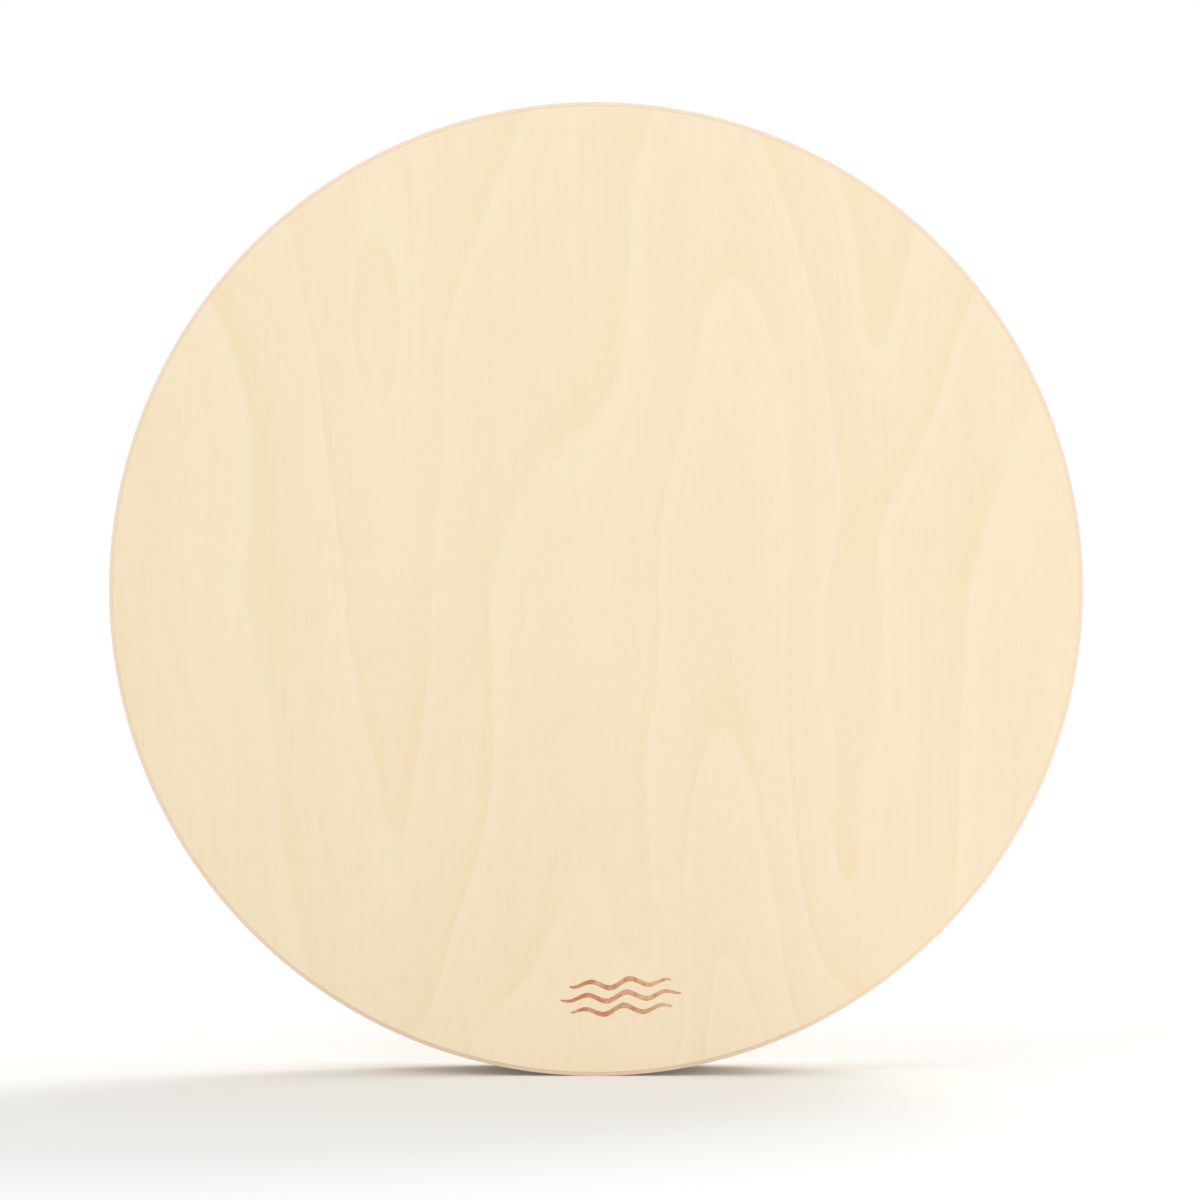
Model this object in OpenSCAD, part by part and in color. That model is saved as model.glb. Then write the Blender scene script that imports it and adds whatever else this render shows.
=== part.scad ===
// Ocean drum: a shallow round drum with a plywood plate at the front, a clear
// film head at the back, and loose steel beads that roll round inside it.
// It stands on its rim. X is to the right, Y runs from the plate to the head,
// Z is up, and the origin is the middle of the footprint. Sections are drawn
// in (radius, y) and turned round the drum's axis.

/* [Drum] */
// Outside diameter, over the front plate and the trim hoop
drum_d = 400; // [300:5:500]
// Depth, from the front plate's face to the trim hoop's back edge
drum_depth = 60; // [56:1:80]

/* [Front plate] */
// Thickness of the face veneer
face_veneer_t = 0.5; // [0.4:0.1:0.8]
// Thickness of the core ply
core_ply_t = 2.2; // [1.6:0.1:3]
// Thickness of the back veneer
back_veneer_t = 0.5; // [0.4:0.1:0.8]
// Width and depth of the bevel round the plate's face
plate_bevel = 1.8; // [1:0.1:2.4]

/* [Shell] */
// Thickness of each of the shell's three bent plies
ply_t = 1.65; // [1.4:0.05:2]
// Rounding of the bearing edge under the film's fold
bearing_round = 1.2; // [0.8:0.1:1.3]
// Thickness of the glue between bent pieces, and in their scarfs
glue_t = 0.05; // [0.03:0.01:0.1]
// Length of a scarf as a share of the thickness of its strip
scarf_share = 6; // [4:1:8]
// Blunt end of a scarf as a share of the thickness of its strip
scarf_nib_share = 0.2; // [0.15:0.05:0.3]

/* [Glue hoops] */
// Thickness of the two hoops inside the shell
glue_hoop_t = 4; // [3:0.5:6]
// Width of the two hoops inside the shell
glue_hoop_w = 10; // [8:0.5:11]
// Bevel that the beads climb from the channel between the hoops
glue_hoop_bevel = 1.8; // [1:0.1:2]
// How far the back hoop stops short of the bearing edge
back_hoop_setback = 2; // [1:0.5:3]

/* [Head] */
// Thickness of the film
film_t = 0.3; // [0.2:0.05:0.4]
// How far the film's skirt stops short of the trim hoop's front edge
skirt_setback = 1.5; // [1:0.5:3]
// Thickness of the trim hoop
trim_hoop_t = 1.6; // [1.4:0.1:2.4]
// Width of the trim hoop
trim_hoop_w = 14; // [10:1:20]
// How far the trim hoop stands up past the film
trim_hoop_proud = 1; // [0.5:0.1:2]
// Rounding of the trim hoop's outer edges
trim_hoop_round = 0.8; // [0.3:0.1:1]

/* [Hoop pins] */
// Number of pins round the trim hoop
pin_count = 12; // [8:4:16]
// Length of a pin
pin_l = 4.8; // [4:0.1:5]
// Length of a pin's point
pin_point_l = 1.4; // [0.8:0.1:1.8]
// Diameter of a pin's shank
pin_shank_d = 1.2; // [1:0.1:1.4]
// Diameter of a pin's head
pin_head_d = 2.6; // [2:0.1:3.2]
// Depth of a pin's tapered head
pin_head_h = 0.7; // [0.5:0.1:1]
// How far a pin's head is sunk into the trim hoop
pin_sink = 0.1; // [0.05:0.05:0.2]
// Gap between a pin and the wood round it
pin_clearance = 0.02; // [0.01:0.01:0.05]

/* [Beads] */
// Diameter of a bead
bead_d = 4.5; // [4:0.1:4.6]
// Gap between a bead and what it rolls on or rolls past
bead_clearance = 0.3; // [0.2:0.05:0.4]
// Least space between two beads of a lane
bead_gap = 0.2; // [0.1:0.05:0.3]
// Most that the space between two beads of a lane varies
bead_play = 0.7; // [0:0.1:1]
// Lanes of beads in the channel between the glue hoops
channel_lanes = 6; // [3:1:6]
// Lanes of beads on each glue hoop
hoop_lanes = 2; // [1:1:2]
// Beads in the lower layer of a channel lane
lower_bead_count = 21; // [9:1:31]
// Beads that lie in a lane's upper layer, or in one on a glue hoop
upper_bead_count = 11; // [5:1:15]
// Most beads by which one lane differs from another
lane_spread_count = 1; // [0:1:2]

/* [Hidden] */
lane_count = channel_lanes + 2 * hoop_lanes;
lane_names = [for (i = [1 : lane_count]) str("bead_lane_", i)];
smooth = 180;
small_smooth = 48;

drum_r = drum_d / 2;
front_y = -drum_depth / 2;
back_y = drum_depth / 2;
cut_past = trim_hoop_t;

// Front plate, from the face inwards
core_front_y = front_y + face_veneer_t;
core_back_y = core_front_y + core_ply_t;
plate_back_y = core_back_y + back_veneer_t;

// Shell, whose bearing edge carries the film
shell_r = drum_r - trim_hoop_t - film_t - 2 * glue_t;
ply_count = 3;
shell_inner_r = shell_r - ply_count * ply_t - (ply_count - 1) * glue_t;
bearing_y = back_y - trim_hoop_proud - film_t - glue_t;
bearing_slope_r = shell_r - ply_t;
trim_front_y = back_y - trim_hoop_w;
trim_middle_y = back_y - trim_hoop_w / 2;

// Glue hoops, with the channel between them
hoop_outer_r = shell_inner_r - glue_t;
hoop_inner_r = hoop_outer_r - glue_hoop_t;
channel_front_y = plate_back_y + glue_hoop_w;
back_hoop_y = bearing_y - back_hoop_setback;
channel_back_y = back_hoop_y - glue_hoop_w;

// Places of the scarfs, in degrees round from the right, clear of the pins
outer_ply_scarf_angle = -120;
middle_ply_scarf_angle = 0;
inner_ply_scarf_angle = 120;
front_hoop_scarf_angle = 150;
back_hoop_scarf_angle = 30;
trim_hoop_scarf_angle = 60;

// Lanes of beads, each as [y, radius of the floor under it]
bead_r = bead_d / 2;
lane_room = bead_clearance + bead_r;
hoop_flat_w = glue_hoop_w - glue_hoop_bevel;
front_lanes = [
    for (y = spread(plate_back_y + lane_room, plate_back_y + hoop_flat_w, hoop_lanes)) [y, hoop_inner_r]
];
middle_lanes = [
    for (y = spread(channel_front_y + lane_room, channel_back_y - lane_room, channel_lanes)) [y, shell_inner_r]
];
back_lanes = [
    for (y = spread(back_hoop_y - hoop_flat_w, back_hoop_y - lane_room, hoop_lanes)) [y, hoop_inner_r]
];
lanes = concat(front_lanes, middle_lanes, back_lanes);

face_birch = [0.95, 0.88, 0.77];
core_birch = [0.90, 0.76, 0.66];
shell_birch = [0.91, 0.80, 0.63];
clear_film = [0.86, 0.93, 0.96, 0.35];
brass = [0.80, 0.64, 0.34];
steel = [0.72, 0.73, 0.75];

// Evenly spread values from first to last; a single value lies in the middle.
function spread(first, last, count) =
    count == 1 ? [(first + last) / 2] : [for (i = [0 : count - 1]) first + i * (last - first) / (count - 1)];

// Sums of the values up to each place, starting from zero.
function running_sums(values) =
    [for (i = 0, sum = 0; i <= len(values); sum = sum + (i < len(values) ? values[i] : 0), i = i + 1) sum];

// A whole number near a count, by a lane's own draw of luck.
function near(count, luck) = count + round(luck * lane_spread_count);

// Angles of a layer's beads from straight down, for beads whose centres lie at a radius.
function layer_angles(count, radius, seed) =
    let (sums = running_sums(rands(bead_d + bead_gap, bead_d + bead_gap + bead_play, count - 1, seed)))
    [for (sum = sums) (sum - sums[count - 1] / 2) / radius * 180 / PI];

module turned() {
    translate([0, 0, drum_r])
        rotate([-90, 0, 0])
            rotate_extrude($fn = smooth)
                children();
}

// Places its children at an angle round the drum's axis, with +X pointing outwards.
module round_the_rim(angle) {
    translate([0, 0, drum_r])
        rotate([0, -angle, 0])
            children();
}

module strip(r0, r1, y0, y1) {
    translate([r0, y0])
        square([r1 - r0, y1 - y0]);
}

// A strip with both corners of its outer edge rounded.
module rounded_strip(r0, r1, y0, y1, round_r) {
    strip(r0, r1 - round_r, y0, y1);
    strip(r0, r1, y0 + round_r, y1 - round_r);
    for (y = [y0 + round_r, y1 - round_r])
        translate([r1 - round_r, y])
            circle(r = round_r, $fn = small_smooth);
}

// Cuts the glued scarf by which a bent strip's two ends meet: a long slant
// through the thickness that ends in a short blunt nib at either face.
module scarfed(angle, inner_r, outer_r) {
    thickness = outer_r - inner_r;
    nib = thickness * scarf_nib_share;
    end = thickness * scarf_share / 2;
    path = [
        [outer_r + cut_past, -end],
        [outer_r - nib, -end],
        [inner_r + nib, end],
        [inner_r - cut_past, end]
    ];
    half_w = glue_t * scarf_share / 2;
    difference() {
        children();
        round_the_rim(angle)
            rotate([90, 0, 0])
                linear_extrude(2 * drum_depth, center = true)
                    polygon(concat(
                        [for (k = [0 : 3]) path[k] - [0, half_w]],
                        [for (k = [3 : -1 : 0]) path[k] + [0, half_w]]
                    ));
    }
}

module plate_ply(y0, y1) {
    turned()
        intersection() {
            polygon([
                [0, front_y],
                [drum_r - plate_bevel, front_y],
                [drum_r, front_y + plate_bevel],
                [drum_r, plate_back_y],
                [0, plate_back_y]
            ]);
            strip(0, drum_r, y0, y1);
        }
}

module front_face_veneer() {
    color(face_birch)
        plate_ply(front_y, core_front_y);
}

module front_core_ply() {
    color(core_birch)
        plate_ply(core_front_y, core_back_y);
}

module front_back_veneer() {
    color(face_birch)
        plate_ply(core_back_y, plate_back_y);
}

// The outside of the shell with its rounded bearing edge, grown by a thickness.
module shell_outline(y0, grow) {
    round_middle_r = shell_r - bearing_round;
    round_middle_y = bearing_y - bearing_round;
    strip(0, shell_r + grow, y0, round_middle_y);
    strip(0, round_middle_r, y0, bearing_y + grow);
    translate([round_middle_r, round_middle_y])
        circle(r = bearing_round + grow, $fn = small_smooth);
}

// One bent ply, cut to the bearing edge's round outside and sloping inside.
module shell_ply(place, scarf) {
    outer_r = shell_r - place * (ply_t + glue_t);
    inner_r = outer_r - ply_t;
    color(shell_birch)
        scarfed(scarf, inner_r, outer_r)
            turned()
                intersection() {
                    strip(inner_r, outer_r, plate_back_y, bearing_y);
                    shell_outline(plate_back_y, 0);
                    polygon([
                        [drum_r, plate_back_y],
                        [drum_r, bearing_y],
                        [bearing_slope_r, bearing_y],
                        [shell_inner_r, bearing_y - (bearing_slope_r - shell_inner_r)],
                        [shell_inner_r, plate_back_y]
                    ]);
                }
}

module shell_outer_ply() {
    color(shell_birch)
        difference() {
            shell_ply(0, outer_ply_scarf_angle);
            pins(pin_clearance);
        }
}

module shell_middle_ply() {
    color(shell_birch)
        difference() {
            shell_ply(1, middle_ply_scarf_angle);
            pins(pin_clearance);
        }
}

module shell_inner_ply() {
    shell_ply(2, inner_ply_scarf_angle);
}

// A hoop glued inside the shell, from its square edge to its bevelled one.
module glue_hoop(square_y, bevelled_y, scarf) {
    bevel_y = bevelled_y + sign(square_y - bevelled_y) * glue_hoop_bevel;
    color(shell_birch)
        scarfed(scarf, hoop_inner_r, hoop_outer_r)
            turned()
                polygon([
                    [hoop_inner_r, square_y],
                    [hoop_outer_r, square_y],
                    [hoop_outer_r, bevelled_y],
                    [hoop_inner_r + glue_hoop_bevel, bevelled_y],
                    [hoop_inner_r, bevel_y]
                ]);
}

module front_glue_hoop() {
    glue_hoop(plate_back_y, channel_front_y, front_hoop_scarf_angle);
}

module back_glue_hoop() {
    glue_hoop(back_hoop_y, channel_back_y, back_hoop_scarf_angle);
}

module film_head() {
    skirt_y = trim_front_y + skirt_setback;
    color(clear_film)
        difference() {
            turned()
                difference() {
                    shell_outline(skirt_y, glue_t + film_t);
                    shell_outline(skirt_y - cut_past, glue_t);
                }
            pins(pin_clearance);
        }
}

module trim_hoop() {
    inner_r = drum_r - trim_hoop_t;
    color(face_birch)
        difference() {
            scarfed(trim_hoop_scarf_angle, inner_r, drum_r)
                turned()
                    rounded_strip(inner_r, drum_r, trim_front_y, back_y, trim_hoop_round);
            pins(pin_clearance);
        }
}

// All the pins, or with some room the holes that they fill.
module pins(room) {
    shank_r = pin_shank_d / 2 + room;
    head_r = pin_head_d / 2 + room;
    top = pin_l + (room > 0 ? pin_sink + cut_past : 0);
    step = 360 / pin_count;
    for (k = [0 : pin_count - 1])
        round_the_rim((k + 0.5) * step)
            translate([drum_r - pin_sink - pin_l, trim_middle_y, 0])
                rotate([0, 90, 0])
                    rotate_extrude($fn = small_smooth)
                        polygon([
                            [0, -room],
                            [shank_r, pin_point_l],
                            [shank_r, pin_l - pin_head_h],
                            [head_r, pin_l],
                            [head_r, top],
                            [0, top]
                        ]);
}

module hoop_pins() {
    color(brass)
        pins(0);
}

module bead(angle, radius, y) {
    round_the_rim(angle - 90)
        translate([radius, y, 0])
            sphere(d = bead_d, $fn = small_smooth);
}

// One lane of beads at the bottom of the drum. In the channel, a second layer
// lies in the dips between the beads of the first.
module bead_lane(lane) {
    lane_y = lanes[lane][0];
    floor_r = lanes[lane][1];
    luck = rands(-1, 1, 3, lane);
    in_channel = floor_r == shell_inner_r;
    first_r = floor_r - bead_clearance - bead_r;
    count = near(in_channel ? lower_bead_count : upper_bead_count, luck[0]);
    angles = layer_angles(count, first_r, lane);
    lean = luck[1] * (angles[1] - angles[0]) / 2;
    upper_count = in_channel ? near(upper_bead_count, luck[2]) : 0;
    upper_start = floor((count - 1 - upper_count) / 2);
    color(steel) {
        for (angle = angles)
            bead(angle + lean, first_r, lane_y);
        if (in_channel)
            for (k = [upper_start : upper_start + upper_count - 1]) {
                half_angle = (angles[k + 1] - angles[k]) / 2;
                rise = sqrt(pow(bead_d + bead_gap / 2, 2) - pow(first_r * sin(half_angle), 2));
                bead(angles[k] + half_angle + lean, first_r * cos(half_angle) - rise, lane_y);
            }
    }
}

front_face_veneer();
front_core_ply();
front_back_veneer();
shell_outer_ply();
shell_middle_ply();
shell_inner_ply();
front_glue_hoop();
back_glue_hoop();
film_head();
trim_hoop();
hoop_pins();
for (lane = [0 : lane_count - 1])
    bead_lane(lane);
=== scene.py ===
"""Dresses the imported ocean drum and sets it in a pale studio.

The drum stands on its rim with the plywood plate towards -Y and the clear film head towards +Y.
Every new surface is a profile or a grid, worked out with numpy in metres, in the frame's own
coordinates.
"""

import math

import bpy
import numpy as np
from bpy.props import FloatProperty, FloatVectorProperty, PointerProperty
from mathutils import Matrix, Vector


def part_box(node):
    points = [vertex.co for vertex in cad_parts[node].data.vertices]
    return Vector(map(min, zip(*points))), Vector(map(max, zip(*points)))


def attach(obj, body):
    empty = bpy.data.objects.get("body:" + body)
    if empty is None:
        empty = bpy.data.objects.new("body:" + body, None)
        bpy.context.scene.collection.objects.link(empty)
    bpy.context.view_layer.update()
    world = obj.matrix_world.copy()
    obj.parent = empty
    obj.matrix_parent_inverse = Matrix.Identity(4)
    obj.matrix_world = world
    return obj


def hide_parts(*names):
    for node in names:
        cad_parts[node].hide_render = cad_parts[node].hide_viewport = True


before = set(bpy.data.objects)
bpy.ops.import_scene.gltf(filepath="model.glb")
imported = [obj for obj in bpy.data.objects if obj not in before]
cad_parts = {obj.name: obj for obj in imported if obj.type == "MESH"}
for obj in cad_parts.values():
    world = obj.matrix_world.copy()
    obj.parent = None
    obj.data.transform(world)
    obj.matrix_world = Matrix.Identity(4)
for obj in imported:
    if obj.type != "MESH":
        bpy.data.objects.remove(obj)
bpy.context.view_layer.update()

bl_info = {
    "name": "Ocean drum",
    "version": (1, 0, 0),
    "blender": (4, 5, 0),
    "location": "3D view > Sidebar > Ocean drum",
    "description": "Dresses an ocean drum in birch, film, brass and steel",
    "category": "Object",
}

MM = 0.001
DRUM = "drum"
PLY_NODES = ("shell_outer_ply", "shell_middle_ply", "shell_inner_ply")
GLUE_HOOPS = ("front_glue_hoop", "back_glue_hoop")

# The UV map and the attributes that the wood reads
GRAIN_MAP = "grain"
END_GRAIN = "end_grain"
RINGS = "growth_rings"

# Steps of the grids: round the drum, across a dimple, round a pin, and along and round a printed line
ROUND_STEPS = 720
DIMPLE_STEPS = 13
PIN_STEPS = 24
LINE_STEPS = 160
LINE_SIDES = 16

# Points of the rounded corners: an eased edge, the film's fold, the trim hoop's edge, a pin's dome
EASE_STEPS = 5
FOLD_STEPS = 7
TRIM_EDGE_STEPS = 5
DOME_STEPS = 6

# Spacing of the points: on the plate's face, a strip, the trim hoop's outside and its inside, the
# film where it ripples and where it is calm, and faces that lie hidden
FACE_SPACING = 1.9 * MM
STRIP_SPACING = 2.5 * MM
TRIM_SPACING = 0.4 * MM
TRIM_INSIDE_SPACING = 2 * MM
RIPPLE_SPACING = 2 * MM
CALM_SPACING = 12 * MM
HIDDEN_SPACING = 20 * MM

# Sizes of the CAD model that the boxes of its nodes don't tell
BEARING_ROUND = 1.2 * MM
HOOP_BEVEL = 1.8 * MM
TRIM_ROUND = 0.8 * MM
FILM_FOLD = 1.5 * MM
PIN_HEAD_R = 1.3 * MM
PIN_HEAD_H = 0.7 * MM
PIN_SHANK_R = 0.6 * MM
PIN_POINT_L = 1.4 * MM

# How far in the middle of the bearing edge lies, as a share of its rounding
BEARING_MIDDLE = 0.3

# Depth of the trim hoop's outermost layer, where the pins' heads and the dimples lie, and an angle
# that is less than the one from pin to pin
SKIN = 0.5 * MM
PIN_GAP = math.radians(3)

# Where each strip's ends meet, in degrees round from the right, and the blunt share at a scarf's tips
SCARF_DEGREES = {
    "shell_outer_ply": -120,
    "shell_middle_ply": 0,
    "shell_inner_ply": 120,
    "front_glue_hoop": 150,
    "back_glue_hoop": 30,
    "trim_hoop": 60,
}
SCARF_NIB = 0.2


def node_points(node):
    """The points of a CAD node's mesh as an array."""
    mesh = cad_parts[node].data
    values = np.empty(len(mesh.vertices) * 3, np.float32)
    mesh.vertices.foreach_get("co", values)
    return values.reshape(-1, 3).astype(float)


def y_range(node):
    """Where a CAD node starts and ends along the drum's axis."""
    low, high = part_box(node)
    return low[1], high[1]


AXIS_Z = (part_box("trim_hoop")[0][2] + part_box("trim_hoop")[1][2]) / 2


def radius_range(node):
    """The least and the greatest distance of a CAD node's points from the drum's axis."""
    points = node_points(node)
    radii = np.hypot(points[:, 0], points[:, 2] - AXIS_Z)
    return float(radii.min()), float(radii.max())


DRUM_R = radius_range("trim_hoop")[1]
FRONT_Y, CORE_FRONT_Y = y_range("front_face_veneer")
CORE_BACK_Y, PLATE_BACK_Y = y_range("front_back_veneer")
FACE_R = radius_range("front_face_veneer")[1] - (CORE_FRONT_Y - FRONT_Y)


# Sizes and colours that a user would change

def length(name, description, default):
    """A length property in the scene's units."""
    return FloatProperty(
        name=name, description=description, default=default, min=0, unit="LENGTH", precision=5
    )


def colour(name, description, default):
    """A colour property, written in sRGB as it looks in the picture."""
    return FloatVectorProperty(
        name=name, description=description, default=default,
        size=3, min=0, max=1, subtype="COLOR_GAMMA",
    )


class OceanDrumSizes(bpy.types.PropertyGroup):
    """Small sizes that finish the drum's pieces"""

    edge_ease: length("Edge ease", "Rounding of the sanded edges", 0.12 * MM)
    seam_width: length("Seam width", "Width of the open line at a scarf", 0.25 * MM)
    ply_scarf: length("Ply scarf", "Length of a ply's and the trim hoop's scarf", 9.6 * MM)
    hoop_scarf: length("Hoop scarf", "Length of a glue hoop's scarf", 23.04 * MM)
    dimple_depth: length("Dimple depth", "How far the wood is pressed in round a pin", 0.12 * MM)
    dimple_radius: length("Dimple radius", "Radius of the wood pressed in round a pin", 2 * MM)
    pin_dome: length("Pin dome", "Height of a pin's domed head", 0.1 * MM)
    film_ripple: length("Film ripple", "Height of the ripples near the film's fold", 0.07 * MM)
    ripple_reach: length("Ripple reach", "How far the ripples run in from the fold", 16 * MM)
    mark_width: length("Mark width", "Width of the printed mark on the plate", 50 * MM)
    mark_height: length("Mark height", "Height of the printed mark on the plate", 15 * MM)
    mark_distance: length("Mark distance", "From the plate's middle to the mark", 167.5 * MM)
    print_line: length("Print line", "Width of the printed mark's lines", 2.1 * MM)
    print_rise: length("Print rise", "Thickness of the print on the wood", 0.02 * MM)


class OceanDrumColours(bpy.types.PropertyGroup):
    """Colours of the drum's finishes and of the studio"""

    birch: colour("Birch", "Face veneer", (0.957, 0.892, 0.773))
    birch_shade: colour("Birch shade", "Darker lines of the face veneer", (0.935, 0.860, 0.730))
    ring_pale: colour("Ring pale", "Start of a growth ring", (0.957, 0.900, 0.788))
    ring_tan: colour("Ring tan", "End of a growth ring", (0.940, 0.846, 0.655))
    fleck: colour("Fleck", "Short dark flecks along the grain", (0.865, 0.755, 0.61))
    veneer_edge: colour("Veneer edge", "Veneer cut across its grain", (0.935, 0.845, 0.725))
    core: colour("Core", "Core ply cut along its grain", (0.995, 0.90, 0.815))
    core_end: colour("Core end grain", "Core ply cut across its grain", (0.985, 0.88, 0.79))
    shell: colour("Shell", "Bent plies", (0.925, 0.830, 0.680))
    shell_shade: colour("Shell shade", "Darker lines of the bent plies", (0.845, 0.715, 0.545))
    trim: colour("Trim", "Trim hoop", (0.940, 0.860, 0.730))
    trim_shade: colour("Trim shade", "Darker lines of the trim hoop", (0.870, 0.755, 0.600))
    film: colour("Film", "Tint of the clear film", (0.995, 0.997, 0.998))
    film_haze: colour("Film haze", "Faint haze on the film", (0.93, 0.95, 0.96))
    brass: colour("Brass", "Hoop pins", (0.84, 0.68, 0.40))
    steel: colour("Steel", "Beads", (0.74, 0.75, 0.77))
    copper: colour("Copper", "Print of the mark where it is full", (0.765, 0.49, 0.345))
    copper_worn: colour("Copper worn", "Print of the mark where it is thin", (0.85, 0.705, 0.565))
    floor: colour("Floor", "Studio floor", (0.93, 0.93, 0.925))


def sizes():
    """The scene's sizes."""
    return bpy.context.scene.ocean_drum_sizes


def colours():
    """The scene's colours."""
    return bpy.context.scene.ocean_drum_colours


# Meshes

def put_mesh(name, vertices, quads, triangles=None, grain=None, end_grain=None, rings=None):
    """A smooth-shaded mesh from arrays of points, four-cornered and three-cornered faces.

    grain holds a point's place across and along the wood's grain, in metres, and becomes a UV
    map. end_grain says how far a point is cut across the grain, from 0 to 1, and rings numbers
    its growth ring. Both become attributes.
    """
    if triangles is None:
        triangles = np.zeros((0, 3), int)
    mesh = bpy.data.meshes.new(name)
    corners = np.concatenate([quads.ravel(), triangles.ravel()]).astype(np.int32)
    starts = np.concatenate([
        np.arange(len(quads)) * 4,
        len(quads) * 4 + np.arange(len(triangles)) * 3,
    ]).astype(np.int32)
    mesh.vertices.add(len(vertices))
    mesh.vertices.foreach_set("co", np.asarray(vertices, np.float32).ravel())
    mesh.loops.add(len(corners))
    mesh.loops.foreach_set("vertex_index", corners)
    mesh.polygons.add(len(starts))
    mesh.polygons.foreach_set("loop_start", starts)
    mesh.polygons.foreach_set("use_smooth", np.ones(len(starts), bool))
    mesh.update(calc_edges=True)
    if grain is not None:
        layer = mesh.uv_layers.new(name=GRAIN_MAP)
        layer.data.foreach_set("uv", np.asarray(grain, np.float32)[corners].ravel())
    for key, values in ((END_GRAIN, end_grain), (RINGS, rings)):
        if values is not None:
            attribute = mesh.attributes.new(key, "FLOAT", "POINT")
            attribute.data.foreach_set("value", np.asarray(values, np.float32).ravel())
    piece = bpy.data.objects.new(name, mesh)
    bpy.context.scene.collection.objects.link(piece)
    return piece


def dress(piece, material, slot, *nodes):
    """Gives a piece its material, sets it on the drum, and hides the CAD nodes it replaces. The slot
    is not used.
    """
    piece.data.materials.append(material)
    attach(piece, DRUM)
    if nodes:
        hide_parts(*nodes)


def outline(corners, ease, closed=False):
    """Points along straight sides, with each corner eased.

    corners are (radius, y, spacing), where spacing is that of the points on the side after the
    corner. A corner is eased by a parabola: the weights (1 - t)^2, 2 t (1 - t) and t^2 blend a
    point on the side before it, the corner, and a point on the side after it. An open outline's
    ends stay sharp.
    """
    places = np.array([corner[:2] for corner in corners], float)
    count = len(places)
    t = np.linspace(0, 1, EASE_STEPS)[:, None]
    rounded = []
    for i, here in enumerate(places):
        if not ease or (not closed and i in (0, count - 1)):
            rounded.append(here[None])
            continue
        before = places[i - 1] - here
        after = places[(i + 1) % count] - here
        first = here + before * min(ease / np.linalg.norm(before), 0.45)
        last = here + after * min(ease / np.linalg.norm(after), 0.45)
        rounded.append((1 - t) ** 2 * first + 2 * t * (1 - t) * here + t ** 2 * last)
    points = []
    for i, arc in enumerate(rounded):
        points.append(arc)
        if closed or i < count - 1:
            side = rounded[(i + 1) % count][0] - arc[-1]
            steps = int(np.linalg.norm(side) / corners[i][2])
            shares = np.arange(1, steps + 1)[:, None] / (steps + 1)
            points.append(arc[-1] + side * shares)
    return np.concatenate(points)


def capped_tube(sections, ends=None):
    """The points and faces of a tube from its sections, with a fan of triangles over either end.

    sections is an array of sections, each a closed ring of points. ends are the middles of the
    two fans, and are the mean places of the first and the last section where they aren't given.
    """
    rows, columns = sections.shape[:2]
    if ends is None:
        ends = sections[[0, -1]].mean(axis=1)
    i, j = np.meshgrid(np.arange(rows - 1), np.arange(columns), indexing="ij")
    i, j = i.ravel() * columns, j.ravel()
    k = (j + 1) % columns
    quads = np.stack([i + j, i + columns + j, i + columns + k, i + k], axis=1)
    j = np.arange(columns)
    k = (j + 1) % columns
    start = rows * columns
    last = start - columns
    caps = np.concatenate([
        np.stack([np.full(columns, start), j, k], axis=1),
        np.stack([np.full(columns, start + 1), last + k, last + j], axis=1),
    ])
    return np.concatenate([sections.reshape(-1, 3), ends]), quads, caps


def lathe(points, steps, shape=None):
    """Turns an outline of (radius, height) points from its top pole to its bottom pole.

    A point at radius r and height h, turned by an angle a, lies at (r cos a, r sin a, h). shape
    may change the heights, given the radii, the heights and the angles. Returns the points,
    their angles, and the faces.
    """
    angles = np.arange(steps)[None] * 2 * np.pi / steps
    radii = points[1:-1, 0, None] + 0 * angles
    heights = points[1:-1, 1, None] + 0 * angles
    if shape:
        heights = shape(radii, heights, angles)
    body = np.stack([radii * np.cos(angles), radii * np.sin(angles), heights], axis=2)
    poles = np.array([[0, 0, points[0, 1]], [0, 0, points[-1, 1]]])
    all_angles = np.concatenate([(angles + 0 * radii).ravel(), [0, 0]])
    places, quads, caps = capped_tube(body, poles)
    return places, all_angles, quads, caps


def on_drum(local):
    """Places turned points on the drum: their axis becomes -Y, from the back to the front."""
    return np.stack([local[:, 0], -local[:, 2], AXIS_Z + local[:, 1]], axis=1)


def turned_piece(name, corners, ease, shape=None, grain=None, end_grain=None, rings=None):
    """A piece turned round the drum's axis from (radius, y, spacing) corners, pole to pole."""
    points = outline(corners, ease) * np.array([1, -1])
    local, angles, quads, caps = lathe(points, ROUND_STEPS, shape)
    places = on_drum(local)
    return put_mesh(
        name, places, quads, caps,
        grain=grain(places) if grain else None,
        end_grain=end_grain(np.hypot(local[:, 0], local[:, 1]), angles) if end_grain else None,
        rings=rings(places) if rings else None,
    )


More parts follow.
